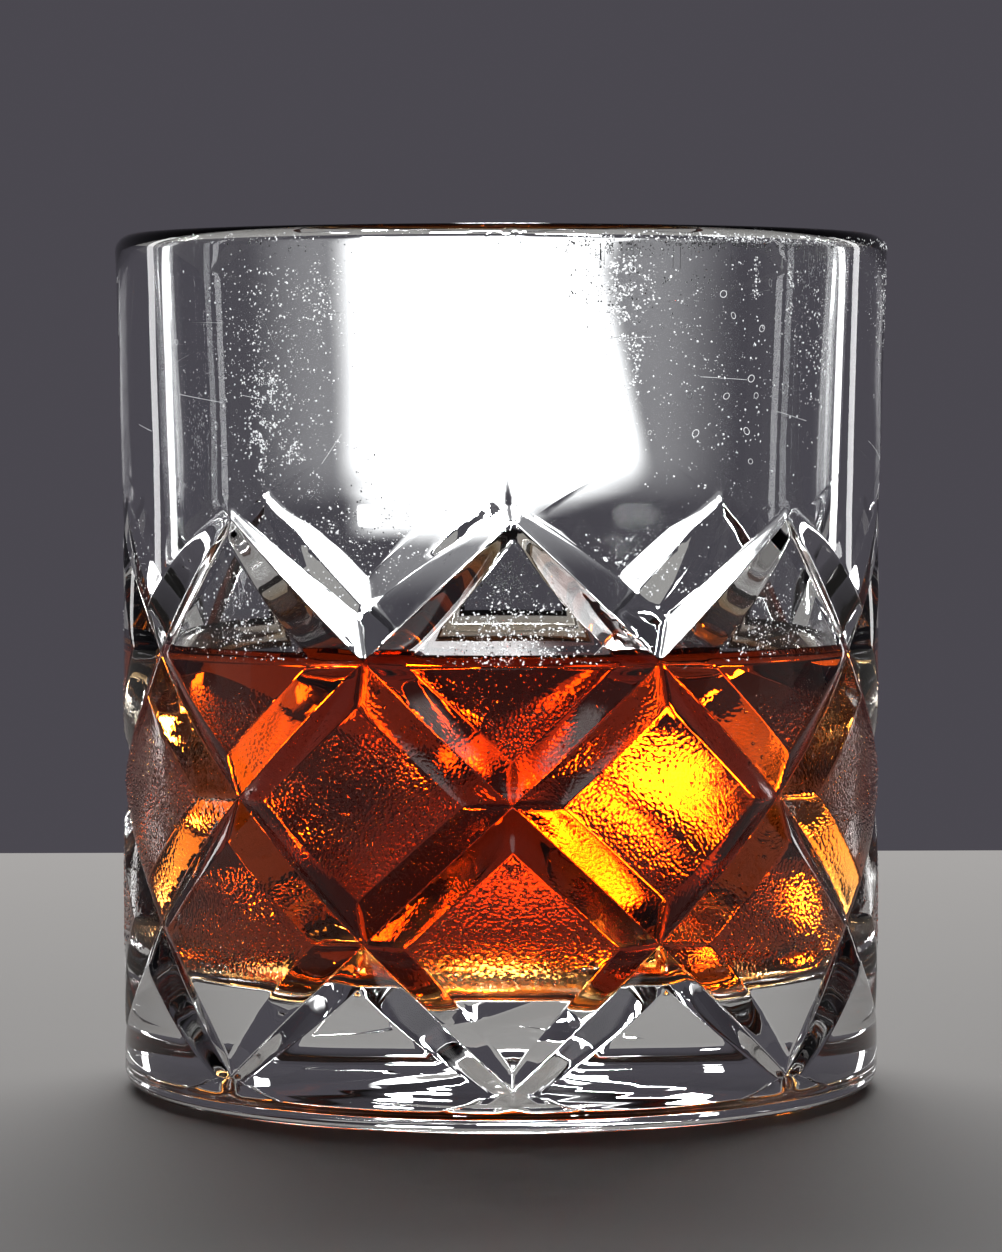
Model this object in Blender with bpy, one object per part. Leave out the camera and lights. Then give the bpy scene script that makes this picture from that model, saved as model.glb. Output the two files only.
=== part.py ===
"""A sazerac served neat in a heavy pressed double old-fashioned glass.

The glass stands on its foot, with the origin at the middle of the foot and +Z up. Two families of
V cuts, eight of each, climb to the right and to the left round its body and cross at nodes. A node
of the lowest, the middle and the highest row faces -Y. Lengths are in metres.
"""

import math

import bmesh
import bpy
from mathutils import Vector

MM = 0.001

# The glass
HEIGHT = 94.7 * MM
RIM_RADIUS = 43.0 * MM  # outside, just under the rounded lip
BODY_RADIUS = 42.2 * MM  # outside, on the uncut faces
WALL_AT_RIM = 3.9 * MM
BORE_AT_TOP_NODES = 37.6 * MM
BORE_AT_FLOOR = 36.5 * MM  # where the floor's round corner starts
FLOOR_HEIGHT = 13.2 * MM
FLOOR_CORNER = 5.5 * MM
HEEL_ROUND = 2.0 * MM
FOOT_INNER_RADIUS = 32.0 * MM  # inside edge of the flat ring that the glass stands on
PUNT_STEP = 1.0 * MM  # the step up from the ring to the hollow under the glass
PUNT_RISE = 2.0 * MM  # height of that hollow's middle

# The cuts. A column is the way round from one node to the next, a row is the way up.
CUTS_EACH_WAY = 8
LOW_NODE_HEIGHT = 4.6 * MM
ROW_HEIGHT = 14.84 * MM
TOP_ROW = 4  # the highest row of nodes, with the lowest as row 0
CUT_HALF_WIDTH = 0.316  # in columns, level through a node
CUT_DEPTH = 1.65 * MM
TIP_SHARE = 0.34  # what is left of a cut's width and depth at the lowest and the highest nodes
TIP_OVERRUN = 0.08  # how far a cut's round end passes its last node, in rows

# The drink
DRINK_LEVEL = 48.1 * MM
MENISCUS_RISE = 1.8 * MM  # how far the drink climbs the wall
MENISCUS_REACH = 1.8 * MM  # the way out from the wall over which that rise drops to a third
DRINK_GAP = 0.3 * MM

# Fineness
STEPS = 6  # points from one node to the next, round and up
MESH_EDGE = 2 / STEPS  # the even offset from a cut's middle line that is moved to the cut's edge
ARC_STEPS = 4
LIP_STEPS = 6
DRINK_SEGMENTS = 64
WELD = 0.01 * MM
PLACE_DIGITS = 4  # a place in the pattern is rounded to this, past the mesh's own precision
SHARP_ANGLE = math.radians(14)

COLUMNS = 2 * CUTS_EACH_WAY
COLUMN_ANGLE = 2 * math.pi / COLUMNS
TOP_NODE_HEIGHT = LOW_NODE_HEIGHT + TOP_ROW * ROW_HEIGHT
FLOOR_CORNER_HEIGHT = FLOOR_HEIGHT + FLOOR_CORNER
LIP_RADIUS = WALL_AT_RIM / 2


def clear_scene():
    for old in list(bpy.data.objects):
        bpy.data.objects.remove(old)


def material(name, colour, roughness, transmission, ior):
    made = bpy.data.materials.new(name)
    made.use_nodes = True
    shader = made.node_tree.nodes["Principled BSDF"]
    shader.inputs["Base Color"].default_value = (*colour, 1.0)
    shader.inputs["Roughness"].default_value = roughness
    shader.inputs["Transmission Weight"].default_value = transmission
    shader.inputs["IOR"].default_value = ior
    return made


def node_object(name, bm, finish):
    bmesh.ops.recalc_face_normals(bm, faces=bm.faces)
    mesh = bpy.data.meshes.new(name)
    bm.to_mesh(mesh)
    bm.free()
    mesh.shade_smooth()
    mesh.set_sharp_from_angle(angle=SHARP_ANGLE)
    mesh.materials.append(finish)
    made = bpy.data.objects.new(name, mesh)
    bpy.context.scene.collection.objects.link(made)
    return made


def turned(outline, segments):
    """A closed body turned round Z from (radius, height) points whose two ends lie on the axis."""
    bm = bmesh.new()
    points = [bm.verts.new((radius, 0, height)) for radius, height in outline]
    edges = [bm.edges.new(pair) for pair in zip(points, points[1:])]
    bmesh.ops.spin(
        bm,
        geom=points + edges,
        axis=(0, 0, 1),
        cent=(0, 0, 0),
        angle=2 * math.pi,
        steps=segments,
        use_merge=True,
    )
    bmesh.ops.remove_doubles(bm, verts=bm.verts, dist=WELD)
    return bm


def arc(centre, radius, start, end, steps):
    """Points on an arc in the (radius, height) plane, both ends included. Angles are in degrees."""
    turns = [math.radians(start + (end - start) * i / steps) for i in range(steps + 1)]
    return [(centre[0] + radius * math.cos(t), centre[1] + radius * math.sin(t)) for t in turns]


def between(low, high, share):
    return low + (high - low) * share


# ---- The glass ----


def outside_radius(height):
    """Radius of the uncut outside: a cylinder up to the top nodes, then a slight flare."""
    share = max(0.0, (height - TOP_NODE_HEIGHT) / (HEIGHT - TOP_NODE_HEIGHT))
    return between(BODY_RADIUS, RIM_RADIUS, share)


def bore_radius(height):
    """Radius of the hollow: two straight tapers that meet level with the top nodes."""
    if height > TOP_NODE_HEIGHT:
        share = (height - TOP_NODE_HEIGHT) / (HEIGHT - TOP_NODE_HEIGHT)
        return between(BORE_AT_TOP_NODES, RIM_RADIUS - WALL_AT_RIM, share)
    share = (height - FLOOR_CORNER_HEIGHT) / (TOP_NODE_HEIGHT - FLOOR_CORNER_HEIGHT)
    return between(BORE_AT_FLOOR, BORE_AT_TOP_NODES, share)


def wall_rows():
    """Heights, in rows, of the rings of points up the cut outside."""
    on_cuts = [i / STEPS for i in range(TOP_ROW * STEPS + 1)]
    return [-TIP_OVERRUN, *on_cuts, TOP_ROW + TIP_OVERRUN, TOP_ROW + 0.5]


def glass_outline():
    """The glass's half section: hollow foot, heel, outside, lip, bore and floor."""
    foot = [
        (0.0, PUNT_RISE),
        (FOOT_INNER_RADIUS / 2, between(PUNT_STEP, PUNT_RISE, 0.7)),
        (FOOT_INNER_RADIUS - PUNT_STEP, PUNT_STEP),
        (FOOT_INNER_RADIUS, 0.0),
    ]
    heel = arc((BODY_RADIUS - HEEL_ROUND, HEEL_ROUND), HEEL_ROUND, -90, 0, ARC_STEPS)
    heights = [LOW_NODE_HEIGHT + row * ROW_HEIGHT for row in wall_rows()]
    outside = [(outside_radius(height), height) for height in heights]
    lip = arc((RIM_RADIUS - LIP_RADIUS, HEIGHT - LIP_RADIUS), LIP_RADIUS, 0, 180, LIP_STEPS)
    bore = [(BORE_AT_TOP_NODES, TOP_NODE_HEIGHT)]
    corner_centre = (BORE_AT_FLOOR - FLOOR_CORNER, FLOOR_CORNER_HEIGHT)
    floor = arc(corner_centre, FLOOR_CORNER, 0, -90, ARC_STEPS)
    return [*foot, *heel, *outside, *lip, *bore, *floor, (0.0, FLOOR_HEIGHT)]


def place(point):
    """A point's place in the pattern as (column, row), from the lowest node that faces -Y."""
    column = math.atan2(point.x, -point.y) / COLUMN_ANGLE
    row = (point.z - LOW_NODE_HEIGHT) / ROW_HEIGHT
    return round(column, PLACE_DIGITS), round(row, PLACE_DIGITS)


def at_place(column, row, depth):
    """The point at a place in the pattern, sunk by a depth into the outside."""
    height = LOW_NODE_HEIGHT + row * ROW_HEIGHT
    angle = column * COLUMN_ANGLE
    radius = outside_radius(height) - depth
    return Vector((radius * math.sin(angle), -radius * math.cos(angle), height))


def is_outside(point):
    """Whether a point lies on the outer half of the wall, level with the cuts."""
    row = place(point)[1]
    mid_wall = (outside_radius(point.z) + bore_radius(point.z)) / 2
    return 0 <= row <= TOP_ROW and point.xy.length > mid_wall


def nearest_cut(line):
    """The nearest cut to column minus row, or column plus row: cuts run where those are even."""
    return 2 * round(line / 2)


def cut_share(row):
    """A cut's width and depth at a row, as a share of the full cut: it narrows to its two tips."""
    past_node = max(0.0, 1 - row, row - (TOP_ROW - 1))
    return 1 - (1 - TIP_SHARE) * min(1.0, past_node) ** 2


def drawn_in(offset, share):
    """An offset from a cut's middle line, moved so that mesh lines follow the cut's edges."""
    size = abs(offset)
    edge = CUT_HALF_WIDTH * share
    if size <= MESH_EDGE:
        moved = size * edge / MESH_EDGE
    else:
        moved = between(edge, 1.0, (size - MESH_EDGE) / (1 - MESH_EDGE))
    return math.copysign(moved, offset)


def cut_into(column, row):
    """The point on the cut outside that belongs to an evenly spaced one on the uncut outside."""
    rising, falling = column - row, column + row
    rising_cut, falling_cut = nearest_cut(rising), nearest_cut(falling)
    rising_share = cut_share((falling - rising_cut) / 2)
    falling_share = cut_share((falling_cut - rising) / 2)
    from_rising = drawn_in(rising - rising_cut, rising_share)
    from_falling = drawn_in(falling - falling_cut, falling_share)
    full = max(
        rising_share - abs(from_rising) / CUT_HALF_WIDTH,
        falling_share - abs(from_falling) / CUT_HALF_WIDTH,
        0.0,
    )
    rising, falling = rising_cut + from_rising, falling_cut + from_falling
    return at_place((rising + falling) / 2, (falling - rising) / 2, CUT_DEPTH * full)


def climbs_right(a, b):
    """Whether the line between two vertices climbs anticlockwise, seen from above."""
    return (a.co.x * b.co.y - a.co.y * b.co.x) * (b.co.z - a.co.z) > 0


def split_along_cuts(bm):
    """Splits each face of the cut outside along the diagonal that the nearer cut follows."""
    for face in [f for f in bm.faces if is_outside(f.calc_center_median())]:
        column, row = place(face.calc_center_median())
        from_rising = abs(column - row - nearest_cut(column - row))
        from_falling = abs(column + row - nearest_cut(column + row))
        a, b, c, d = face.verts
        follows = climbs_right(a, c) == (from_rising < from_falling)
        bmesh.utils.face_split(face, *((a, c) if follows else (b, d)))


def glass(finish):
    bm = turned(glass_outline(), COLUMNS * STEPS)
    split_along_cuts(bm)
    for vert in [v for v in bm.verts if is_outside(v.co)]:
        vert.co = cut_into(*place(vert.co))
    return node_object("glass", bm, finish)


# ---- The drink ----


def drink_outline():
    """The drink's half section, from the middle of its surface to the middle of its floor."""
    wall = bore_radius(DRINK_LEVEL) - DRINK_GAP
    surface = [(0.0, DRINK_LEVEL)]
    for share in (0.5, 0.85, 0.93, 0.97, 0.99, 1.0):
        rise = MENISCUS_RISE * math.exp(-wall * (1 - share) / MENISCUS_REACH)
        surface.append((wall * share, DRINK_LEVEL + rise))
    corner_centre = (BORE_AT_FLOOR - FLOOR_CORNER, FLOOR_CORNER_HEIGHT)
    floor = arc(corner_centre, FLOOR_CORNER - DRINK_GAP, 0, -90, ARC_STEPS)
    return [*surface, *floor, (0.0, FLOOR_HEIGHT + DRINK_GAP)]


def drink(finish):
    return node_object("drink", turned(drink_outline(), DRINK_SEGMENTS), finish)


def main():
    clear_scene()
    glass(material("pressed_soda_lime_glass", (0.97, 0.98, 0.98), 0.02, 1.0, 1.52))
    drink(material("rye_whiskey_with_bitters", (0.62, 0.12, 0.02), 0.0, 0.9, 1.36))


main()
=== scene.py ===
import math
import random

import bmesh
import bpy
import numpy as np
from mathutils import Matrix, Vector, noise


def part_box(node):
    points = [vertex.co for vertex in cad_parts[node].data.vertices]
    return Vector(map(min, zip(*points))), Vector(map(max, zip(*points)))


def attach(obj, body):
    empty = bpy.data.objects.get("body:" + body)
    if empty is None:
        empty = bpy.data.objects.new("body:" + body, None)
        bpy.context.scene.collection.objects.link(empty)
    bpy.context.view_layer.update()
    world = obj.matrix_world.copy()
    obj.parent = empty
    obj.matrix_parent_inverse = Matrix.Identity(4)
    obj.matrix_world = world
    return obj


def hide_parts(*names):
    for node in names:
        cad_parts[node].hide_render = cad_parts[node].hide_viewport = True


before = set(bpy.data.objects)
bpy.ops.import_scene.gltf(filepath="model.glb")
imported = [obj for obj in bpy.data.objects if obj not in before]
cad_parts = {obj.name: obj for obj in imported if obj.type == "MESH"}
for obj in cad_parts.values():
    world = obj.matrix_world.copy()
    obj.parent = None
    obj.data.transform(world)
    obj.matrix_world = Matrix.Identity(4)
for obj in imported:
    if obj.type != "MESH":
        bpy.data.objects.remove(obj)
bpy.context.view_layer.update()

MM = 0.001

# ---- Sizes, from the frame where it holds them ----

GLASS_LOW, GLASS_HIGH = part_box("glass")
DRINK_LOW, DRINK_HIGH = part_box("drink")
HEIGHT = GLASS_HIGH.z
RIM_RADIUS = GLASS_HIGH.x

# The glass
BODY_RADIUS = RIM_RADIUS - 0.8 * MM
WALL_AT_RIM = 3.9 * MM
BORE_AT_TOP_NODES = RIM_RADIUS - 5.4 * MM
BORE_AT_FLOOR = RIM_RADIUS - 6.5 * MM
FLOOR_HEIGHT = DRINK_LOW.z - 0.3 * MM
FLOOR_CORNER = 5.5 * MM
HEEL_ROUND = 2.0 * MM
FOOT_INNER_RADIUS = 32.0 * MM
PUNT_STEP = 1.0 * MM  # how far the hollow under the foot steps up at its edge
PUNT_RISE = 2.0 * MM  # its height in the middle
PUNT_RIPPLE = 0.05 * MM  # height of the faint rings in it
PUNT_RIPPLES = 4.5
SEAM_HEIGHT = 0.26 * MM
SEAM_HALF_WIDTH = 0.5 * MM
WAVE_HEIGHT = 0.03 * MM  # the faint unevenness that the mould leaves
WAVE_LENGTH = 9 * MM

# The cuts: a column is the way round from one node to the next, a row the way up
COLUMNS = 16
LOW_NODE_HEIGHT = 4.6 * MM
ROW_HEIGHT = 14.84 * MM
TOP_ROW = 4
CUT_HALF_WIDTH = 0.316  # in columns
CUT_DEPTH = 1.65 * MM
CUT_HOLLOW = 0.25  # how hollow a cut's two sides are, from 0 for flat ones
TIP_SHARE = 0.34  # a cut's width and depth at its tips
EDGE_ROUND = 0.011  # half the width of a cut's rounded edge, in columns
VALLEY_ROUND = 0.4  # how far a cut's bottom line is filled, as a share of that rounding's height
MITRE_ROUND = 0.12 * MM  # how far the ridges between crossing cuts are worn down

# The drink
DRINK_LEVEL = DRINK_HIGH.z - 1.8 * MM
MENISCUS_RISE = 1.8 * MM
MENISCUS_REACH = 1.8 * MM
MENISCUS_FROM = 0.8  # the share of the drink's radius from which its rings crowd together
INTO_WALL = 0.08 * MM  # how far the drink reaches into the glass, so that no air shows between

# Dew on the cold part of the outside, and dried spots on the band above
DEW_SPACING = 0.76 * MM
DEW_WIDTHS = (0.22 * MM, 0.52 * MM)  # from the smallest bead to the largest
DEW_FLATNESS = 0.42  # height of a bead above the glass, for its radius
DEW_LOW, DEW_HIGH = 14.5 * MM, 46.5 * MM
DEW_FADES = (3 * MM, 4 * MM)  # over which the dew thins out at its lower and upper end
DEW_CLEAR_TOP = (0.35, 0.62)  # how high in each diamond the dew starts to thin out and ends
DEW_PATCHES = (-0.55, 0.15)  # the range of noise over which dew goes from thin to full
DEW_PATCH_SCALE = 4.0
DEW_THINNEST = 0.25
DEW_ON_CUTS, MIST_ON_CUTS = 0.08, 0.35
DEW_SCATTER = 0.33  # how far a bead strays from its even place, in spacings
DEW_SEED = 4
MIST_SPACING = 0.44 * MM  # real mist is finer: this is as coarse as it has to be to show
MIST_HEIGHT = 0.02 * MM

SPECK_WIDTHS = (0.07 * MM, 0.36 * MM)
SPECK_FLATNESS = 0.35
SPECK_CLUMPS = 1.3 * MM  # size of the clumps that specks gather in
SPECK_GAPS = -0.12  # the level of noise below which there is no clump
SPECK_SEED = 11
RIM_CLEARANCE = (0.8 * MM, 2.0 * MM)  # how far below the rim specks, and all scuffs, end
# Patches of specks: degrees round from the front, height, spread round in degrees, spread up, and
# the number of specks. The small dense ones are smears, and the tall narrow ones are drips.
SPECK_PATCHES = [
    (-36, 80 * MM, 13, 17 * MM, 2400),
    (-37, 77.5 * MM, 2.2, 1.7 * MM, 330),
    (-38, 73 * MM, 2.4, 2.2 * MM, 360),
    (-33, 71 * MM, 2.6, 1.4 * MM, 240),
    (-38, 70 * MM, 0.8, 4 * MM, 120),
    (-27, 87 * MM, 5, 5 * MM, 420),
    (14, 90 * MM, 7, 4.5 * MM, 1500),
    (15, 85 * MM, 3, 4 * MM, 500),
    (17, 80 * MM, 1.2, 5 * MM, 240),
    (36, 93 * MM, 34, 1.8 * MM, 1900),
    (37, 89 * MM, 1.0, 4 * MM, 110),
    (44, 88 * MM, 0.8, 4 * MM, 90),
    (50, 82 * MM, 5, 9 * MM, 560),
    (28, 80 * MM, 20, 17 * MM, 1300),
    (-24, 61 * MM, 12, 6 * MM, 900),
    (17, 59 * MM, 9, 4 * MM, 620),
    (0, 52 * MM, 14, 5 * MM, 2100),
    (-40, 53 * MM, 12, 6 * MM, 1300),
    (37, 53 * MM, 12, 6 * MM, 1300),
]
BACK_PATCHES = 14
BACK_DEGREES = (70, 290)
BACK_HEIGHTS = [height * MM for height in (53, 60, 72, 80, 90)]
BACK_SPECKS = 520
RINGS = 26
RING_HALF_WIDTHS = (0.16, 0.4)  # in mm
RING_CLUSTER = (28, 9)  # middle and spread in degrees of the place where every third ring lies
RING_FLATNESS = 0.2
SCUFFS = 26
SCUFF_LENGTHS = (3, 9)  # in mm
SCUFF_HALF_WIDTH = 0.08 * MM
SCUFF_DASH = 0.3 * MM  # each scuff is a row of overlapping dashes
SCUFF_STRETCH = 2.4
SCUFF_FLATNESS = 0.12
SCUFF_STEEP = 1.2  # how much steeper every fourth scuff runs, in radians

# Lights. Small cards close behind the glass stand in for a window and the lit things of a room.
# A card is left, right, low and high in mm, the tilt of its sides in degrees, and its radiance,
# where 1 is white
CARDS_BEHIND = 150 * MM
CARDS = {
    "card_window": (-27, 20, 58, 101, 0, 2.2),
    "card_window_side": (-2, 28, 56, 98, -19, 2.2),
    "card_window_foot": (-25, 12, 50, 63, 0, 1.2),
    "card_halo": (-48, 52, 56, 108, 0, 0.24),
    "card_right_glow": (-10.5, -3, 18, 27, 0, 290),
    "card_strip_low": (11, 22, 34, 40, 0, 74),
    "card_strip": (17, 24, 40, 48, 0, 80),
    "card_foot": (-3, 9, 0.5, 8, 0, 11),
    "card_high": (-3, 12, 84, 118, 0, 30),
    "card_left_spot": (-22, -17, 52, 58, 0, 9),
    "card_low_left": (49, 56, 28, 34, 0, 12),
    "card_low_right": (-36, -30, 10, 17, 0, 14),
}
CARD_STEP = 0.3 * MM  # each card stands this much behind the last, so that none hides another
EDGE_FADE = 0.2  # the share of a card at each edge over which its light fades in
# Panels in pairs, one on each side: size, then place on the right-hand side, in metres
STRIP_SIZE, STRIP_PLACE, STRIP_RADIANCE = (0.03, 0.3), (0.34, 0.22, 0.15), 4.5
SIDE_SIZE, SIDE_PLACE, SIDE_RADIANCE = (0.1, 0.3), (0.4, -0.035, 0.15), 0.1
SPECK_LIGHT_SIZE, SPECK_LIGHT_PLACE, SPECK_RADIANCE = (0.4, 0.4), (0.5, -0.4, 0.3), 12.0
# Single panels
SPECK_BACK_SIZE, SPECK_BACK_PLACE = (0.6, 0.4), (0.0, 0.6, 0.4)
SPECKS_MIDDLE = (0, 0, 0.08)
FLOOR_LIGHT_SIZE, FLOOR_LIGHT_PLACE = (1.0, 0.5), (0.0, 0.6, 0.6)
LIT_FLOOR = (0, 0.1, 0)
NEAR_WINDOW = (54 * MM, 42 * MM)  # a window on the near side, for the view from behind
NEAR_WINDOW_HEIGHT = 82 * MM
NEAR_WINDOW_RADIANCE = 1.8
FLOOR_RADIANCE = 3.9
WALL_STRENGTH, CEILING_STRENGTH = 0.62, 0.12
NEAR_SHARE = 0.6  # how bright the near side of the room is, against the far side
WALL_COLOUR = "#6A6770"
TABLE_COLOUR = "#B9B6B3"
TABLE_HALF_SIZE = (1.2, 0.85)
TABLE_MIDDLE = (0, -0.58, -0.5 * MM)  # just clear of the foot
BOUNCES = 18  # light crosses many walls, cuts and beads
MIRROR_BOUNCES = 6
CONTRAST = 0.9  # the display's gamma: under 1 gives the deep contrast of a glass lit from behind

# The camera
CAMERA_LENS = 138.57
CAMERA_DISTANCE = 539.62 * MM
CAMERA_HEIGHT = 77.84 * MM
CAMERA_DIP = math.radians(2.8436)
CAMERA_TURN = math.radians(1.686)

# Fineness
STEPS = 24  # points from one node to the next, round and up
ROWS_PAST_TOP = 12  # rows of points that the cuts' upper tips reach into
ROWS_PAST_FOOT = 4
DRINK_SEGMENTS = 192

COLUMN_ANGLE = 2 * math.pi / COLUMNS
COLUMN_WIDTH = COLUMN_ANGLE * BODY_RADIUS
TOP_NODE_HEIGHT = LOW_NODE_HEIGHT + TOP_ROW * ROW_HEIGHT
FLOOR_CORNER_HEIGHT = FLOOR_HEIGHT + FLOOR_CORNER
LIP_RADIUS = WALL_AT_RIM / 2
# From one cut to the next that runs beside it
CUT_GAP = 2 * COLUMN_WIDTH * ROW_HEIGHT / math.hypot(COLUMN_WIDTH, ROW_HEIGHT)
CUT_SLOPE = CUT_DEPTH / (CUT_HALF_WIDTH * CUT_GAP / 2)


# ---- Helpers ----


def between(low, high, share):
    return low + (high - low) * share


def smooth_share(value, start, end):
    """How far a value has come from start to end, from 0 to 1, easing in and out."""
    share = min(1.0, max(0.0, (value - start) / (end - start)))
    return share * share * (3 - 2 * share)


def colour(hex_code):
    """An sRGB hex colour as linear RGBA."""
    parts = [int(hex_code[i : i + 2], 16) / 255 for i in (1, 3, 5)]
    linear = [p / 12.92 if p <= 0.04045 else ((p + 0.055) / 1.055) ** 2.4 for p in parts]
    return (*linear, 1.0)


def new_material(name):
    """An empty node tree and the material that holds it."""
    made = bpy.data.materials.new(name)
    made.use_nodes = True
    made.node_tree.nodes.clear()
    return made.node_tree, made


def add(tree, kind, values=None, links=None, **settings):
    """Adds a node with its settings, its sockets' values and its links."""
    made = tree.nodes.new(kind)
    for name, value in settings.items():
        setattr(made, name, value)
    for socket, value in (values or {}).items():
        made.inputs[socket].default_value = value
    for socket, source in (links or {}).items():
        tree.links.new(source, made.inputs[socket])
    return made


def arc(centre, radius, start, end, steps):
    """Points on an arc in the (radius, height) plane, both ends included. Angles are in degrees."""
    turns = [math.radians(start + (end - start) * i / steps) for i in range(steps + 1)]
    return [(centre[0] + radius * math.cos(t), centre[1] + radius * math.sin(t)) for t in turns]


def turned(outline, segments):
    """A closed body turned round Z from (radius, height) points whose two ends lie on the axis."""
    bm = bmesh.new()
    points = [bm.verts.new((radius, 0, height)) for radius, height in outline]
    edges = [bm.edges.new(pair) for pair in zip(points, points[1:])]
    bmesh.ops.spin(
        bm,
        geom=points + edges,
        axis=(0, 0, 1),
        cent=(0, 0, 0),
        angle=2 * math.pi,
        steps=segments,
        use_merge=True,
    )
    bmesh.ops.remove_doubles(bm, verts=bm.verts, dist=0.001 * MM)
    return bm


def piece(name, bm, material, replaced=None):
    """Makes a bmesh into a smooth shaded piece that rides on the glass."""
    bmesh.ops.recalc_face_normals(bm, faces=bm.faces)
    mesh = bpy.data.meshes.new(name)
    bm.to_mesh(mesh)
    bm.free()
    return mesh_piece(name, mesh, material, replaced)


def mesh_piece(name, mesh, material, replaced=None):
    """A smooth shaded piece of a finished mesh."""
    mesh.shade_smooth()
    mesh.materials.append(material)
    made = bpy.data.objects.new(name, mesh)
    bpy.context.scene.collection.objects.link(made)
    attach(made, "root")
    if replaced:
        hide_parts(replaced)
    return made


# ---- Materials ----


def pressed_glass():
    """Soda-lime glass, pressed in a mould and fire polished: clear and bright, with a mist of fine
    dew, which pebbles what shows through."""
    tree, made = new_material("pressed_soda_lime_glass")
    place = add(tree, "ShaderNodeTexCoord").outputs["Object"]
    misted = add(tree, "ShaderNodeAttribute", attribute_name="dew").outputs["Fac"]
    # Each cell is one bead, a dome that meets its neighbours
    cells = add(
        tree,
        "ShaderNodeTexVoronoi",
        {"Scale": 1 / MIST_SPACING, "Randomness": 0.9},
        {"Vector": place},
    )
    dome = add(
        tree,
        "ShaderNodeMath",
        {1: 2.0},
        {0: cells.outputs["Distance"]},
        operation="POWER",
    )
    masked = add(
        tree,
        "ShaderNodeMath",
        links={0: dome.outputs[0], 1: misted},
        operation="MULTIPLY",
    )
    bump = add(
        tree,
        "ShaderNodeBump",
        {"Strength": 1.0, "Distance": 2 * MIST_HEIGHT},
        {"Height": masked.outputs[0]},
        invert=True,
    )
    shader = add(
        tree,
        "ShaderNodeBsdfPrincipled",
        {
            "Base Color": colour("#FDFEFE"),
            "Roughness": 0.0,
            "IOR": 1.52,
            "Transmission Weight": 1.0,
        },
        {"Normal": bump.outputs["Normal"]},
    )
    add(tree, "ShaderNodeOutputMaterial", links={"Surface": shader.outputs["BSDF"]})
    return made


def rye_and_bitters():
    """Rye whiskey with red bitters: clear, deep red in its thickness, amber to yellow where it is
    thin or light passes through."""
    tree, made = new_material("rye_whiskey_with_red_bitters")
    shader = add(
        tree,
        "ShaderNodeBsdfPrincipled",
        {
            "Base Color": (1.0, 1.0, 1.0, 1.0),
            "Roughness": 0.0,
            "IOR": 1.36,
            "Transmission Weight": 1.0,
        },
    )
    # Absorbed each metre: 12 of red, 51 of green, 118 of blue, out of the density
    depth = add(
        tree,
        "ShaderNodeVolumeAbsorption",
        {"Color": (0.908, 0.608, 0.092, 1.0), "Density": 130.0},
    )
    add(
        tree,
        "ShaderNodeOutputMaterial",
        links={"Surface": shader.outputs["BSDF"], "Volume": depth.outputs["Volume"]},
    )
    return made


def condensed_water():
    """Dew on a cold glass: clear beads of water."""
    tree, made = new_material("condensed_water")
    shader = add(
        tree,
        "ShaderNodeBsdfPrincipled",
        {
            "Base Color": (1.0, 1.0, 1.0, 1.0),
            "Roughness": 0.0,
            "IOR": 1.333,
            "Transmission Weight": 1.0,
        },
    )
    add(tree, "ShaderNodeOutputMaterial", links={"Surface": shader.outputs["BSDF"]})
    return made


def dried_spots():
    """Lime and sugar left by dried drops: a thin chalky crust that glows when lit from behind."""
    tree, made = new_material("dried_lime_spots")
    shader = add(
        tree,
        "ShaderNodeBsdfPrincipled",
        {
            "Base Color": colour("#F2F4F6"),
            "Roughness": 0.8,
            "IOR": 1.5,
        },
    )
    add(tree, "ShaderNodeOutputMaterial", links={"Surface": shader.outputs["BSDF"]})
    return made


def matt_paint():
    """Matt pale paint on a board, with a trace of unevenness in its shade."""
    tree, made = new_material("pale_matt_paint")
    place = add(tree, "ShaderNodeTexCoord")
    cloud = add(
        tree,
        "ShaderNodeTexNoise",
        {"Scale": 9.0, "Detail": 4.0},
        {"Vector": place.outputs["Object"]},
    )
    shade = add(
        tree,
        "ShaderNodeMix",
        {"A": colour(TABLE_COLOUR), "B": colour("#FFFFFF")},
        data_type="RGBA",
    )
    strength = add(
        tree,
        "ShaderNodeMath",
        {1: 0.06},
        {0: cloud.outputs["Fac"]},
        operation="MULTIPLY",
    )
    tree.links.new(strength.outputs[0], shade.inputs["Factor"])
    shader = add(
        tree,
        "ShaderNodeBsdfPrincipled",
        {"Roughness": 0.6},
        {"Base Color": shade.outputs["Result"]},
    )
    add(tree, "ShaderNodeOutputMaterial", links={"Surface": shader.outputs["BSDF"]})
    return made


# ---- The glass ----


def outside_radius(height):
    """Radius of the uncut outside: a cylinder up to the top nodes, then a slight flare."""
    share = max(0.0, (height - TOP_NODE_HEIGHT) / (HEIGHT - TOP_NODE_HEIGHT))
    return between(BODY_RADIUS, RIM_RADIUS, share)


def bore_radius(height):
    """Radius of the hollow, which opens a little faster towards the rim."""
    share = (height - FLOOR_CORNER_HEIGHT) / (HEIGHT - FLOOR_CORNER_HEIGHT)
    low_slope = (BORE_AT_TOP_NODES - BORE_AT_FLOOR) / (TOP_NODE_HEIGHT - FLOOR_CORNER_HEIGHT)
    straight = BORE_AT_FLOOR + low_slope * (height - FLOOR_CORNER_HEIGHT)
    more_at_rim = RIM_RADIUS - WALL_AT_RIM - (BORE_AT_FLOOR + low_slope * (HEIGHT - FLOOR_CORNER_HEIGHT))
    return straight + more_at_rim * share**3


def wall_rows():
    """Heights, in rows, of the rings of points up the cut outside."""
    return [i / STEPS for i in range(-ROWS_PAST_FOOT, TOP_ROW * STEPS + ROWS_PAST_TOP + 1)]


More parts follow.
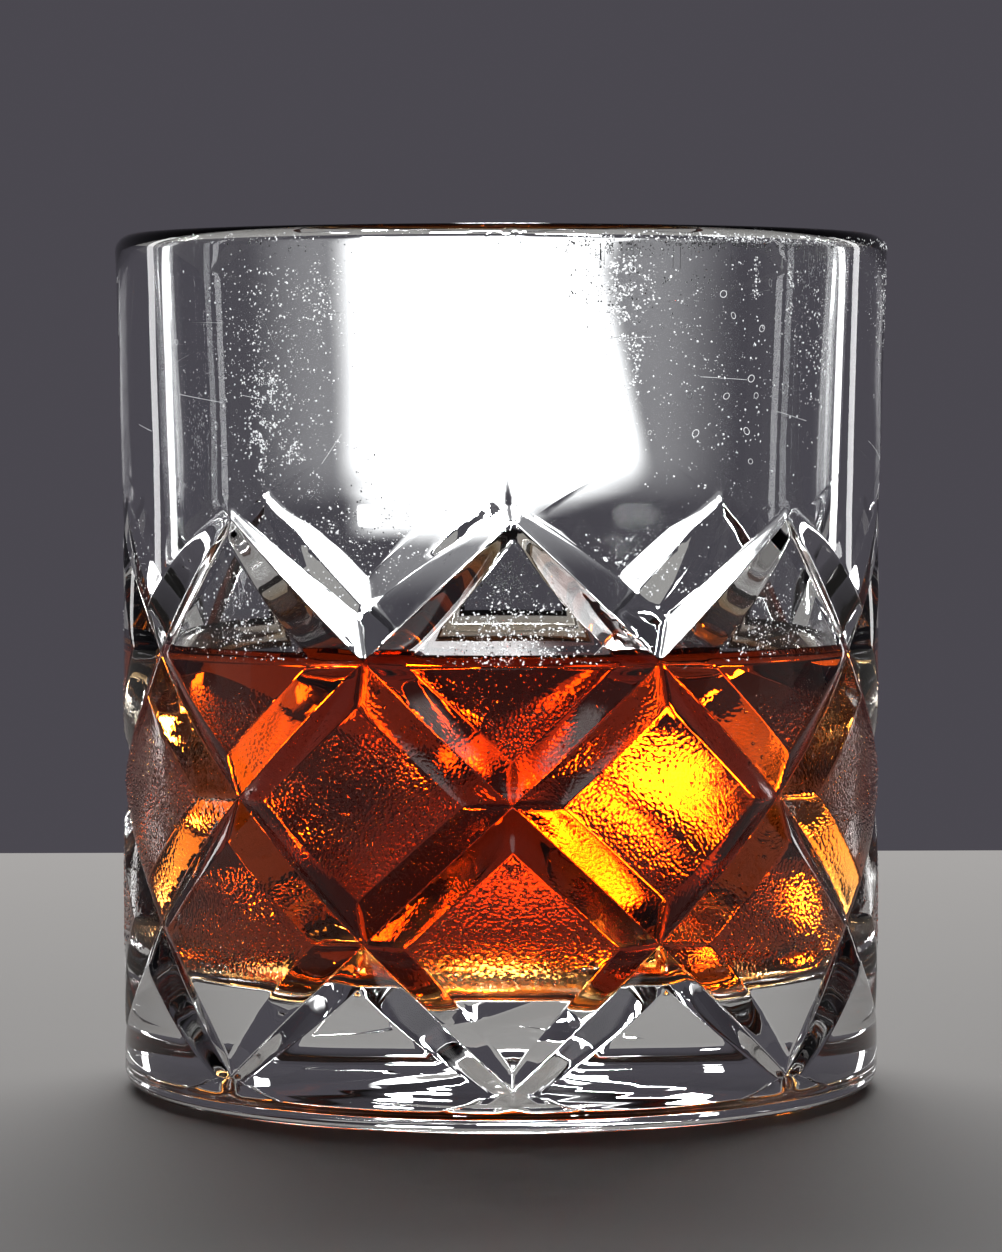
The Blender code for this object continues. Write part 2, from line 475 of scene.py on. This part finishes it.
def glass_outline():
    """The glass's half section: hollow foot, heel, outside, lip, bore and floor."""
    ring = FOOT_INNER_RADIUS - PUNT_STEP
    foot = [(0.0, PUNT_RISE)]
    for i in range(1, 15):
        share = i / 14
        dome = between(PUNT_RISE, PUNT_STEP, share**2)
        ripple = PUNT_RIPPLE * math.sin(2 * math.pi * PUNT_RIPPLES * share) * share
        foot.append((ring * share, dome + ripple))
    foot += arc((ring + PUNT_STEP, PUNT_STEP), PUNT_STEP, 180, 270, 6)[1:]
    foot += [(between(FOOT_INNER_RADIUS, BODY_RADIUS - HEEL_ROUND, i / 8), 0.0) for i in range(1, 8)]
    heel = arc((BODY_RADIUS - HEEL_ROUND, HEEL_ROUND), HEEL_ROUND, -90, 0, 10)
    heights = [LOW_NODE_HEIGHT + row * ROW_HEIGHT for row in wall_rows()]
    lip_start = HEIGHT - LIP_RADIUS
    heights += [between(heights[-1], lip_start, i / 8) for i in range(1, 8)]
    outside = [(outside_radius(height), height) for height in heights]
    lip = arc((RIM_RADIUS - LIP_RADIUS, lip_start), LIP_RADIUS, 0, 180, 18)
    bore = [(bore_radius(height), height) for height in np.linspace(lip_start, FLOOR_CORNER_HEIGHT, 26)[1:]]
    corner_centre = (BORE_AT_FLOOR - FLOOR_CORNER, FLOOR_CORNER_HEIGHT)
    floor = arc(corner_centre, FLOOR_CORNER, 0, -90, 12)[1:]
    floor += [(corner_centre[0] * share, FLOOR_HEIGHT) for share in (0.75, 0.5, 0.25, 0.0)]
    return [*foot, *heel, *outside, *lip, *bore, *floor]


def place(point):
    """A point's place in the pattern as (column, row), from the lowest node that faces -Y."""
    column = math.atan2(point.x, -point.y) / COLUMN_ANGLE
    row = (point.z - LOW_NODE_HEIGHT) / ROW_HEIGHT
    return round(column, 4), round(row, 4)


def at_place(column, row, depth):
    """The point at a place in the pattern, sunk by a depth into the outside."""
    height = LOW_NODE_HEIGHT + row * ROW_HEIGHT
    angle = column * COLUMN_ANGLE
    radius = outside_radius(height) - depth
    return Vector((radius * math.sin(angle), -radius * math.cos(angle), height))


def is_outside(point):
    """Whether a point lies on the outer half of the wall, level with the cuts."""
    row = place(point)[1]
    low, high = -ROWS_PAST_FOOT / STEPS - 1e-3, TOP_ROW + ROWS_PAST_TOP / STEPS + 1e-3
    mid_wall = (outside_radius(point.z) + min(BORE_AT_TOP_NODES, bore_radius(point.z))) / 2
    return low <= row <= high and point.xy.length > mid_wall


def nearest_cut(line):
    """The nearest cut to column minus row, or column plus row: cuts run where those are even."""
    return 2 * round(line / 2)


def cut_share(row):
    """A cut's width and depth at a row, as a share of the full cut: it narrows to its two tips."""
    past_node = max(0.0, 1 - row, row - (TOP_ROW - 1))
    return 1 - (1 - TIP_SHARE) * min(1.0, past_node) ** 2


def drawn_in(offset, share):
    """An offset from a cut's middle line, moved so that three mesh lines run along its edge."""
    size = abs(offset) * STEPS
    edge = CUT_HALF_WIDTH * share
    knots = [0, 1, 7, 8, 9, STEPS]
    places = [0, EDGE_ROUND, edge - EDGE_ROUND, edge, edge + EDGE_ROUND, 1]
    return math.copysign(float(np.interp(size, knots, places)), offset)


def mesh_place(column, row):
    """Where an even place goes, so that the mesh follows the cuts' edges."""
    rising, falling = column - row, column + row
    rising_cut, falling_cut = nearest_cut(rising), nearest_cut(falling)
    from_rising = drawn_in(rising - rising_cut, cut_share((falling - rising_cut) / 2))
    from_falling = drawn_in(falling - falling_cut, cut_share((falling_cut - rising) / 2))
    rising, falling = rising_cut + from_rising, falling_cut + from_falling
    moved_column, moved_row = (rising + falling) / 2, (falling - rising) / 2
    kept = max(
        smooth_share(row, TOP_ROW, TOP_ROW + ROWS_PAST_TOP / STEPS),
        smooth_share(-row, 0, ROWS_PAST_FOOT / STEPS),
    )
    return between(moved_column, column, kept), between(moved_row, row, kept)


def one_cut_depth(off_line, row_on_cut):
    """Depth of one cut, at an offset from its middle line and a row along it."""
    low, high = min(0.0, row_on_cut), max(0.0, row_on_cut - TOP_ROW)
    past_tip = (high - low) * math.hypot(COLUMN_WIDTH, ROW_HEIGHT)
    distance = math.hypot(off_line * CUT_GAP / 2, past_tip)
    sharp = CUT_DEPTH * cut_share(min(TOP_ROW, max(0.0, row_on_cut))) - CUT_SLOPE * distance
    blunt = CUT_SLOPE * EDGE_ROUND * CUT_GAP / 2
    if distance < EDGE_ROUND * CUT_GAP / 2:
        sharp -= VALLEY_ROUND * blunt
    if abs(sharp) < blunt:
        sharp = (sharp + blunt) ** 2 / (4 * blunt)
    flat = max(0.0, sharp)
    return flat * (1 - CUT_HOLLOW * (1 - min(1.0, flat / CUT_DEPTH)))


def cut_depth(column, row):
    """Depth of the cut outside at a place: the deeper of the two cuts, with a worn ridge between."""
    rising, falling = column - row, column + row
    rising_cut, falling_cut = nearest_cut(rising), nearest_cut(falling)
    a = one_cut_depth(rising - rising_cut, (falling - rising_cut) / 2)
    b = one_cut_depth(falling - falling_cut, (falling_cut - rising) / 2)
    worn = max(0.0, MITRE_ROUND - abs(a - b)) ** 2 / (4 * MITRE_ROUND) if min(a, b) > 0 else 0.0
    return max(a, b) + worn


def seam(point):
    """Height of the mould's seam: a low soft ridge up the plain band, front and back."""
    if point.z < TOP_NODE_HEIGHT or point.xy.length < RIM_RADIUS - LIP_RADIUS:
        return 0.0
    ridge = SEAM_HEIGHT * max(0.0, 1 - (point.x / SEAM_HALF_WIDTH) ** 2)
    return min(ridge, RIM_RADIUS - point.xy.length)


def unevenness(point):
    """How far the outside dips at a point, in long soft waves that die out at the heel and lip."""
    if point.xy.length < RIM_RADIUS - WALL_AT_RIM + 1 * MM:
        return 0.0
    low = smooth_share(point.z, 0.0, LOW_NODE_HEIGHT)
    high = 1 - smooth_share(point.z, HEIGHT - 3 * LIP_RADIUS, HEIGHT - LIP_RADIUS)
    return WAVE_HEIGHT * low * high * (0.5 + 0.5 * noise.noise(point / WAVE_LENGTH))


def climbs_right(a, b):
    """Whether the line between two vertices climbs anticlockwise, seen from above."""
    return (a.co.x * b.co.y - a.co.y * b.co.x) * (b.co.z - a.co.z) > 0


def split_along_cuts(bm):
    """Splits each face of the cut outside along the diagonal that the nearer cut follows."""
    for face in [f for f in bm.faces if is_outside(f.calc_center_median())]:
        column, row = place(face.calc_center_median())
        from_rising = abs(column - row - nearest_cut(column - row))
        from_falling = abs(column + row - nearest_cut(column + row))
        a, b, c, d = face.verts
        follows = climbs_right(a, c) == (from_rising < from_falling)
        bmesh.utils.face_split(face, *((a, c) if follows else (b, d)))


def glass(material):
    """The tumbler, with its cuts pressed in and its misted places marked."""
    bm = turned(glass_outline(), COLUMNS * STEPS)
    split_along_cuts(bm)
    misted = bm.verts.layers.float.new("dew")
    for vert in bm.verts:
        if is_outside(vert.co):
            column, row = mesh_place(*place(vert.co))
            vert.co = at_place(column, row, cut_depth(column, row))
            vert[misted] = dew_share(column, row, vert.co.z, column * COLUMN_ANGLE, MIST_ON_CUTS)
        outward = Vector((vert.co.x, vert.co.y, 0)).normalized()
        vert.co += outward * (seam(vert.co) - unevenness(vert.co))
    return piece("pressed_glass", bm, material, replaced="glass")


# ---- The drink ----


def drink(material):
    """The drink, with its meniscus, reaching just into the wall and the floor of the glass."""
    wall = bore_radius(DRINK_LEVEL + MENISCUS_RISE) + INTO_WALL
    outline = [(0.0, DRINK_LEVEL), (wall * 0.4, DRINK_LEVEL), (wall * 0.7, DRINK_LEVEL)]
    for i in range(17):
        out = between(MENISCUS_FROM, 1.0, 1 - (1 - i / 16) ** 2)
        rise = MENISCUS_RISE * math.exp(-wall * (1 - out) / MENISCUS_REACH)
        outline.append((wall * out, DRINK_LEVEL + rise))
    heights = np.linspace(DRINK_LEVEL + MENISCUS_RISE, FLOOR_CORNER_HEIGHT, 20)[1:-1]
    outline += [(bore_radius(height) + INTO_WALL, height) for height in heights]
    corner_centre = (BORE_AT_FLOOR - FLOOR_CORNER, FLOOR_CORNER_HEIGHT)
    outline += arc(corner_centre, FLOOR_CORNER + INTO_WALL, 0, -90, 12)
    outline.append((0.0, FLOOR_HEIGHT - INTO_WALL))
    return piece("drink_body", turned(outline, DRINK_SEGMENTS), material, replaced="drink")


# ---- Dew and dried spots ----


def as_arrays(bm):
    """A small shape's corners and triangles, as arrays."""
    bmesh.ops.triangulate(bm, faces=bm.faces)
    bm.verts.index_update()
    corners = np.array([vert.co[:] for vert in bm.verts])
    faces = np.array([[vert.index for vert in face.verts] for face in bm.faces])
    bm.free()
    return corners, faces


def bead_shape():
    bm = bmesh.new()
    bmesh.ops.create_icosphere(bm, subdivisions=1, radius=1.0)
    return as_arrays(bm)


def speck_shape():
    """Eight-sided, since a speck is too small to show its faces."""
    bm = bmesh.new()
    bmesh.ops.create_uvsphere(bm, u_segments=4, v_segments=2, radius=1.0)
    return as_arrays(bm)


def ring_shape():
    """The thin raised edge that a dried drop leaves."""
    bm = bmesh.new()
    made = bmesh.ops.create_circle(bm, segments=4, radius=0.11)
    bmesh.ops.rotate(bm, verts=made["verts"], cent=(0, 0, 0), matrix=Matrix.Rotation(math.pi / 2, 3, "X"))
    bmesh.ops.translate(bm, verts=made["verts"], vec=(1, 0, 0))
    bmesh.ops.spin(
        bm,
        geom=bm.verts[:] + bm.edges[:],
        axis=(0, 0, 1),
        cent=(0, 0, 0),
        angle=2 * math.pi,
        steps=14,
        use_merge=True,
    )
    bmesh.ops.remove_doubles(bm, verts=bm.verts, dist=0.001)
    bmesh.ops.recalc_face_normals(bm, faces=bm.faces)
    return as_arrays(bm)


def studded(name, shape, spots, flatness, material):
    """One piece of many flat shapes on the outside, each sunk to its middle. A spot is (angle,
    height, half width, squeeze round the glass, tilt)."""
    corners, faces = shape
    angle, height, size, squeeze, tilt = np.array(spots).T[:, :, None]
    surface = np.array([[surface_radius(spot[0], spot[1])] for spot in spots])
    surface = np.minimum(surface, RIM_RADIUS - size * flatness)
    wide = corners[None, :, 0] * size * squeeze
    tall = corners[None, :, 1] * size / squeeze
    across = wide * np.cos(tilt) - tall * np.sin(tilt)
    up = wide * np.sin(tilt) + tall * np.cos(tilt)
    out = surface + size * flatness * corners[None, :, 2]
    x = out * np.sin(angle) + across * np.cos(angle)
    y = -out * np.cos(angle) + across * np.sin(angle)
    points = np.stack([x, y, height + up], axis=2).reshape(-1, 3)
    starts = np.arange(len(spots))[:, None, None] * len(corners)
    mesh = bpy.data.meshes.new(name)
    mesh.from_pydata(points.tolist(), [], (faces[None] + starts).reshape(-1, 3).tolist())
    mesh.update()
    return mesh_piece(name, mesh, material)


def surface_radius(angle, height):
    """Radius of the outside at a place, with the cuts and the round of the lip."""
    column, row = angle / COLUMN_ANGLE, (height - LOW_NODE_HEIGHT) / ROW_HEIGHT
    past_lip = height - (HEIGHT - LIP_RADIUS)
    if past_lip > 0:
        return RIM_RADIUS - LIP_RADIUS + math.sqrt(max(0.0, LIP_RADIUS**2 - past_lip**2))
    return outside_radius(height) - cut_depth(column, row)


def on_flat(column, row, margin):
    """How far a place lies inside the flat between cuts, from 0 at its edge to 1 past the margin."""
    edge = CUT_HALF_WIDTH * cut_share(min(TOP_ROW, max(0.0, row)))
    off_rising = abs(column - row - nearest_cut(column - row)) - edge
    off_falling = abs(column + row - nearest_cut(column + row)) - edge
    return smooth_share(min(off_rising, off_falling), 0.0, margin)


def height_in_diamond(column, row):
    """Height in the diamond round a place, from -1 at its lower corner to 1 at its upper one."""
    rising, falling = column - row, column + row
    middle_row = (2 * math.floor(falling / 2) + 1 - (2 * math.floor(rising / 2) + 1)) / 2
    return row - middle_row


def dew_share(column, row, height, angle, on_cuts):
    """How much of the outside the dew covers at a place, from 0 to 1, with less on the cuts."""
    cold = smooth_share(height, DEW_LOW, DEW_LOW + DEW_FADES[0])
    cold *= 1 - smooth_share(height, DEW_HIGH - DEW_FADES[1], DEW_HIGH)
    clear_top = 1 - smooth_share(height_in_diamond(column, row), *DEW_CLEAR_TOP)
    around = Vector((math.sin(angle), math.cos(angle), height / BODY_RADIUS))
    patchy = smooth_share(noise.noise(around * DEW_PATCH_SCALE), *DEW_PATCHES)
    flat = on_flat(column, row, 0.05)
    return cold * clear_top * between(DEW_THINNEST, 1.0, patchy) * between(on_cuts, 1.0, flat)


def dew(material):
    """Beads in three bands, one for each row of diamonds, so that no piece grows too heavy."""
    draw = random.Random(DEW_SEED)
    bands = {"dew_lower_diamonds": [], "dew_middle_diamonds": [], "dew_upper_diamonds": []}
    names = list(bands)
    around = round(2 * math.pi * BODY_RADIUS / DEW_SPACING)
    line_gap = DEW_SPACING * math.sqrt(0.75)
    for line in range(round((DEW_HIGH - DEW_LOW) / line_gap)):
        for i in range(around):
            stray = draw.uniform(-DEW_SCATTER, DEW_SCATTER)
            angle = 2 * math.pi * (i + 0.5 * (line % 2) + stray) / around
            height = DEW_LOW + (line + draw.uniform(-DEW_SCATTER, DEW_SCATTER)) * line_gap
            column, row = angle / COLUMN_ANGLE, (height - LOW_NODE_HEIGHT) / ROW_HEIGHT
            size = between(*DEW_WIDTHS, draw.random() ** 1.6) / 2
            chance = draw.random()
            squeeze = draw.uniform(0.85, 1.18)
            if chance > dew_share(column, row, height, angle, DEW_ON_CUTS):
                continue
            middle_row = round(row - height_in_diamond(column, row))
            bands[names[min(2, max(0, middle_row - 1))]].append((angle, height, size, squeeze, 0.0))
    for name, spots in bands.items():
        studded(name, bead_shape(), spots, DEW_FLATNESS, material)


def speck_patches(draw):
    """The patches at the front, and others of the same kind drawn for the rest of the way round."""
    patches = list(SPECK_PATCHES)
    for i in range(BACK_PATCHES):
        degrees = between(*BACK_DEGREES, (i + draw.random()) / BACK_PATCHES)
        height = draw.choice(BACK_HEIGHTS)
        patches.append((degrees, height, draw.uniform(4, 11), draw.uniform(2, 9) * MM, BACK_SPECKS))
    return patches


def clumped(angle, height):
    """Whether a speck's place lies in one of the clumps that drying leaves."""
    spot = Vector((angle * RIM_RADIUS, height, 0.0)) / SPECK_CLUMPS
    return noise.noise(spot) + 0.5 * noise.noise(spot * 2.7) > SPECK_GAPS


def dried_marks(material):
    """What drops leave as they dry: specks in patches, small rings, and fine scuffs among them."""
    draw = random.Random(SPECK_SEED)
    specks = {"dried_specks_on_band": [], "dried_specks_on_cuts": []}
    for degrees, middle, wide, tall, number in speck_patches(draw):
        for _ in range(number):
            angle = math.radians(draw.gauss(degrees, wide / 2))
            height = draw.gauss(middle, tall / 2)
            height = min(height, HEIGHT - between(*RIM_CLEARANCE, draw.random()))
            size = between(*SPECK_WIDTHS, draw.random() ** 3) / 2
            spot = (angle, height, size, draw.uniform(0.75, 1.3), draw.uniform(0, math.pi))
            column, row = angle / COLUMN_ANGLE, (height - LOW_NODE_HEIGHT) / ROW_HEIGHT
            if not clumped(angle, height):
                continue
            if height > TOP_NODE_HEIGHT + 2 * MM:
                specks["dried_specks_on_band"].append(spot)
            elif height > DRINK_LEVEL + 1 * MM and cut_depth(column, row) == 0:
                specks["dried_specks_on_cuts"].append(spot)
    made = []
    for name, spots in specks.items():
        made.append(studded(name, speck_shape(), spots, SPECK_FLATNESS, material))
    made.append(studded("dried_drop_rings", ring_shape(), ring_spots(draw), RING_FLATNESS, material))
    made.append(studded("fine_scuffs", bead_shape(), scuff_spots(draw), SCUFF_FLATNESS, material))
    return made


def ring_spots(draw):
    """Places of the rings: a loose cluster, and strays all the way round."""
    spots = []
    for i in range(RINGS):
        angle = math.radians(draw.gauss(*RING_CLUSTER) if i % 3 == 0 else draw.uniform(0, 360))
        height = draw.uniform(TOP_NODE_HEIGHT + 6 * MM, HEIGHT - 4 * MM)
        size = draw.uniform(*RING_HALF_WIDTHS) * MM
        spots.append((angle, height, size, draw.uniform(0.8, 1.25), draw.uniform(0, 3)))
    return spots


def scuff_spots(draw):
    """Places of the dashes that make up the scuffs, which end below the rim."""
    spots = []
    for i in range(SCUFFS):
        angle = math.radians(360 * i / SCUFFS)
        height = draw.uniform(TOP_NODE_HEIGHT + 5 * MM, HEIGHT - 6 * MM)
        tilt = draw.uniform(-0.3, 0.1) + (i % 4 == 0) * SCUFF_STEEP
        length = draw.uniform(*SCUFF_LENGTHS) * MM
        for k in range(round(length / SCUFF_DASH)):
            along = k * SCUFF_DASH
            around = angle + along * math.cos(tilt) / BODY_RADIUS
            level = height + along * math.sin(tilt)
            if level < HEIGHT - RIM_CLEARANCE[1]:
                spots.append((around, level, SCUFF_HALF_WIDTH, SCUFF_STRETCH, tilt))
    return spots


# ---- Surroundings ----


def floor():
    """A pale tabletop whose far edge lies a little way behind the glass."""
    bm = bmesh.new()
    bmesh.ops.create_grid(bm, x_segments=1, y_segments=1, size=1.0)
    bmesh.ops.scale(bm, verts=bm.verts, vec=(*TABLE_HALF_SIZE, 1))
    bmesh.ops.translate(bm, verts=bm.verts, vec=TABLE_MIDDLE)
    mesh = bpy.data.meshes.new("tabletop")
    bm.to_mesh(mesh)
    bm.free()
    mesh.materials.append(matt_paint())
    made = bpy.data.objects.new("tabletop", mesh)
    bpy.context.scene.collection.objects.link(made)
    return made


def surroundings():
    """An even grey room, darker overhead and on the near side."""
    world = bpy.data.worlds.new("studio")
    world.use_nodes = True
    tree = world.node_tree
    background = tree.nodes["Background"]
    background.inputs["Color"].default_value = colour(WALL_COLOUR)
    direction = add(tree, "ShaderNodeTexCoord").outputs["Generated"]
    ways = add(tree, "ShaderNodeSeparateXYZ", links={"Vector": direction})
    overhead = add(
        tree,
        "ShaderNodeMapRange",
        {"From Min": 0.1, "From Max": 0.6, "To Min": WALL_STRENGTH, "To Max": CEILING_STRENGTH},
        {"Value": ways.outputs["Z"]},
    )
    near = add(
        tree,
        "ShaderNodeMapRange",
        {"From Min": -0.3, "From Max": 0.3, "To Min": NEAR_SHARE, "To Max": 1.0},
        {"Value": ways.outputs["Y"]},
    )
    strength = add(
        tree,
        "ShaderNodeMath",
        links={0: overhead.outputs["Result"], 1: near.outputs["Result"]},
        operation="MULTIPLY",
    )
    tree.links.new(strength.outputs[0], background.inputs["Strength"])
    bpy.context.scene.world = world


def fade_edges(lamp):
    """Lets a panel's light fall off smoothly towards its four edges."""
    lamp.use_nodes = True
    tree = lamp.node_tree
    on_panel = add(tree, "ShaderNodeNewGeometry").outputs["Parametric"]
    ways = add(tree, "ShaderNodeSeparateXYZ", links={"Vector": on_panel})
    fades = []
    for way in ("X", "Y"):
        from_edge = add(tree, "ShaderNodeMath", {1: 0.5}, {0: ways.outputs[way]}, operation="PINGPONG")
        fade = add(
            tree,
            "ShaderNodeMapRange",
            {"From Min": 0.0, "From Max": EDGE_FADE, "To Min": 0.0, "To Max": 1.0},
            {"Value": from_edge.outputs[0]},
            interpolation_type="SMOOTHSTEP",
        )
        fades.append(fade.outputs["Result"])
    both = add(tree, "ShaderNodeMath", links={0: fades[0], 1: fades[1]}, operation="MULTIPLY")
    tree.links.new(both.outputs[0], tree.nodes["Emission"].inputs["Strength"])


def soft_light(name, size, at, towards, radiance, only_for=None, faded=False, tilt=0.0):
    """A plain white panel that the camera doesn't see, as bright all over as its radiance says."""
    lamp = bpy.data.lights.new(name, "AREA")
    lamp.shape = "RECTANGLE"
    lamp.size, lamp.size_y = size
    lamp.energy = radiance * math.pi * size[0] * size[1]
    if faded:
        fade_edges(lamp)
    made = bpy.data.objects.new(name, lamp)
    made.location = at
    facing = (Vector(towards) - Vector(at)).to_track_quat("-Z", "Y").to_matrix()
    made.rotation_euler = (facing @ Matrix.Rotation(math.radians(tilt), 3, "Z")).to_euler()
    made.visible_camera = False
    if only_for:
        made.light_linking.receiver_collection = only_for
    bpy.context.scene.collection.objects.link(made)
    return made


def lights(floor_only, glass_only, specks_only):
    """Cards close behind the glass, strips that draw its edges, dim panels at its sides, a window on
    the near side, and soft lights over the dried specks and the floor."""
    for i, (name, (left, right, low, high, tilt, radiance)) in enumerate(CARDS.items()):
        middle = ((left + right) / 2 * MM, CARDS_BEHIND + i * CARD_STEP, (low + high) / 2 * MM)
        ahead = (middle[0], 0, middle[2])
        size = ((right - left) * MM, (high - low) * MM)
        soft_light(name, size, middle, ahead, radiance, glass_only, True, tilt)
    pairs = (
        ("strip_", STRIP_SIZE, STRIP_PLACE, (0, 0, STRIP_PLACE[2]), STRIP_RADIANCE, glass_only),
        ("side_", SIDE_SIZE, SIDE_PLACE, (0, 0, SIDE_PLACE[2]), SIDE_RADIANCE, glass_only),
        ("for_specks_", SPECK_LIGHT_SIZE, SPECK_LIGHT_PLACE, SPECKS_MIDDLE, SPECK_RADIANCE, specks_only),
    )
    for side_name, side in (("left", -1), ("right", 1)):
        for name, size, (across, back, up), towards, radiance, only_for in pairs:
            soft_light(name + side_name, size, (side * across, back, up), towards, radiance, only_for)
    soft_light(
        "for_specks_back", SPECK_BACK_SIZE, SPECK_BACK_PLACE, SPECKS_MIDDLE, SPECK_RADIANCE, specks_only
    )
    at, ahead = (0, -CARDS_BEHIND, NEAR_WINDOW_HEIGHT), (0, 0, NEAR_WINDOW_HEIGHT)
    soft_light("near_window", NEAR_WINDOW, at, ahead, NEAR_WINDOW_RADIANCE, glass_only, True)
    soft_light("over_floor", FLOOR_LIGHT_SIZE, FLOOR_LIGHT_PLACE, LIT_FLOOR, FLOOR_RADIANCE, floor_only)


def shared_by(name, objects):
    """A collection that light linking uses."""
    group = bpy.data.collections.new(name)
    bpy.context.scene.collection.children.link(group)
    for made in objects:
        group.objects.link(made)
    return group


def camera():
    """Level with the upper part of the glass, looking slightly down on it from arm's length, and
    a little to the left of a column of nodes."""
    lens = bpy.data.cameras.new("camera")
    lens.sensor_width = 36.0
    lens.lens = CAMERA_LENS
    lens.clip_start = 0.01
    made = bpy.data.objects.new("camera", lens)
    left, back = math.sin(CAMERA_TURN), math.cos(CAMERA_TURN)
    made.location = (-CAMERA_DISTANCE * left, -CAMERA_DISTANCE * back, CAMERA_HEIGHT)
    made.rotation_euler = (math.pi / 2 - CAMERA_DIP, 0.0, -CAMERA_TURN)
    bpy.context.scene.collection.objects.link(made)
    bpy.context.scene.camera = made


def look():
    """How far light is followed, and how the picture is shown."""
    scene = bpy.context.scene
    scene.view_settings.view_transform = "Standard"
    scene.view_settings.gamma = CONTRAST
    scene.cycles.max_bounces = BOUNCES
    scene.cycles.transmission_bounces = BOUNCES
    scene.cycles.glossy_bounces = MIRROR_BOUNCES
    scene.cycles.sample_clamp_indirect = 0.0  # keeps the bright places in the drink yellow


def main():
    camera()
    look()
    surroundings()
    table = floor()
    glass(pressed_glass())
    drink(rye_and_bitters())
    dew(condensed_water())
    marks = dried_marks(dried_spots())
    pieces = [made for made in bpy.data.objects if made.type == "MESH" and made != table]
    lights(shared_by("floor_only", [table]), shared_by("glass_only", pieces), shared_by("specks_only", marks))


main()
